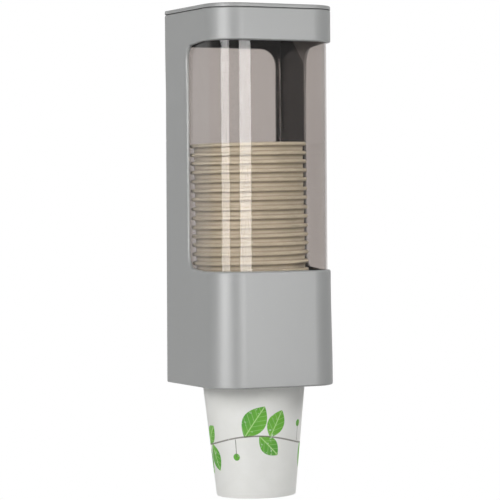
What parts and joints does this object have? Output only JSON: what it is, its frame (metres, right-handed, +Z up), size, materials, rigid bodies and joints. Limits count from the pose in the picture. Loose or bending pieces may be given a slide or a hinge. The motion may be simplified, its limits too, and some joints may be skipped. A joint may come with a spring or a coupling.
{
  "type": "cup dispenser",
  "caption": "Wall-hung paper cup dispenser: grey windowed housing with a hinged lid, smoke-clear sleeve, leaning cup stack and a gate that lets cups down singly.",
  "frame": {"origin": "the middle of the adhesive pad's back face, on the wall plane", "axes": "+Z is up, +Y points into the wall, the front faces -Y, +X is the dispenser's right as seen from the front"},
  "size_m": [0.0886, 0.0881, 0.3161],
  "materials": {
    "grey_plastic": "satin moulded light grey plastic",
    "smoke_plastic": "clear plastic tinted smoke brown, glossy",
    "white_plastic": "moulded white plastic",
    "dark_plastic": "moulded dark grey plastic",
    "silicone": "soft translucent white silicone",
    "steel": "zinc-plated steel",
    "foam_tape": "white double-sided foam tape",
    "rubber": "black rubber",
    "paper": "white paper, matt"
  },
  "bodies": {
    "wall_bracket": {"wall_plate": "grey_plastic", "adhesive_pad": "foam_tape"},
    "dispenser": {"housing": "grey_plastic", "clear_sleeve": "smoke_plastic", "cup_gate": "dark_plastic", "gate_screw_front_left": "steel", "gate_screw_front_right": "steel", "gate_screw_rear_left": "steel", "gate_screw_rear_right": "steel", "hinge_pin_left": "steel", "hinge_pin_right": "steel", "wall_bumper_left": "rubber", "wall_bumper_right": "rubber"},
    "lid_flap": {"lid": "grey_plastic"},
    "claw_set_front_left": {"claw_front_left": "white_plastic", "claw_lip_front_left": "silicone", "claw_screw_front_left": "steel"},
    "claw_set_front_right": {"claw_front_right": "white_plastic", "claw_lip_front_right": "silicone", "claw_screw_front_right": "steel"},
    "claw_set_rear_left": {"claw_rear_left": "white_plastic", "claw_lip_rear_left": "silicone", "claw_screw_rear_left": "steel"},
    "claw_set_rear_right": {"claw_rear_right": "white_plastic", "claw_lip_rear_right": "silicone", "claw_screw_rear_right": "steel"},
    "lowest_cup": {"cup_01": "paper"},
    "cup_stack": {"cup_02": "paper", "cup_03": "paper", "cup_04": "paper", "cup_05": "paper", "cup_06": "paper", "cup_07": "paper", "cup_08": "paper", "cup_09": "paper", "cup_10": "paper", "cup_11": "paper", "cup_12": "paper", "cup_13": "paper", "cup_14": "paper", "cup_15": "paper", "cup_16": "paper", "cup_17": "paper", "cup_18": "paper", "cup_19": "paper", "cup_20": "paper", "cup_21": "paper", "cup_22": "paper", "cup_23": "paper", "cup_24": "paper"}
  },
  "joints": [
    {"name": "lift_off", "type": "slide", "parent": "wall_bracket", "child": "dispenser", "axis": [0, 0, 1], "range_m": [0, 0.008]},
    {"name": "lid_hinge", "type": "hinge", "parent": "dispenser", "child": "lid_flap", "pos_m": [0, -0.0059, 0.1989], "axis": [-1, 0, 0], "range_deg": [0, 90]},
    {"name": "cup_pull", "type": "slide", "parent": "dispenser", "child": "lowest_cup", "axis": [0.0175, 0, -0.9998], "range_m": [0, 0.1], "deforming": ["claw_lip_front_left", "claw_lip_front_right", "claw_lip_rear_left", "claw_lip_rear_right"]},
    {"name": "stack_drop", "type": "slide", "parent": "dispenser", "child": "cup_stack", "axis": [0.0175, 0, -0.9998], "range_m": [0, 0.00585]},
    {"name": "claw_slide_front_left", "type": "slide", "parent": "dispenser", "child": "claw_set_front_left", "axis": [-0.7071, -0.7071, 0], "range_m": [0, 0.004]},
    {"name": "claw_slide_front_right", "type": "slide", "parent": "dispenser", "child": "claw_set_front_right", "axis": [0.7071, -0.7071, 0], "range_m": [0, 0.004]},
    {"name": "claw_slide_rear_left", "type": "slide", "parent": "dispenser", "child": "claw_set_rear_left", "axis": [-0.7071, 0.7071, 0], "range_m": [0, 0.004]},
    {"name": "claw_slide_rear_right", "type": "slide", "parent": "dispenser", "child": "claw_set_rear_right", "axis": [0.7071, 0.7071, 0], "range_m": [0, 0.004]}
  ],
  "couplings": [
    {"joint": "stack_drop", "follows": "cup_pull", "ratio": 0.0585}
  ]
}
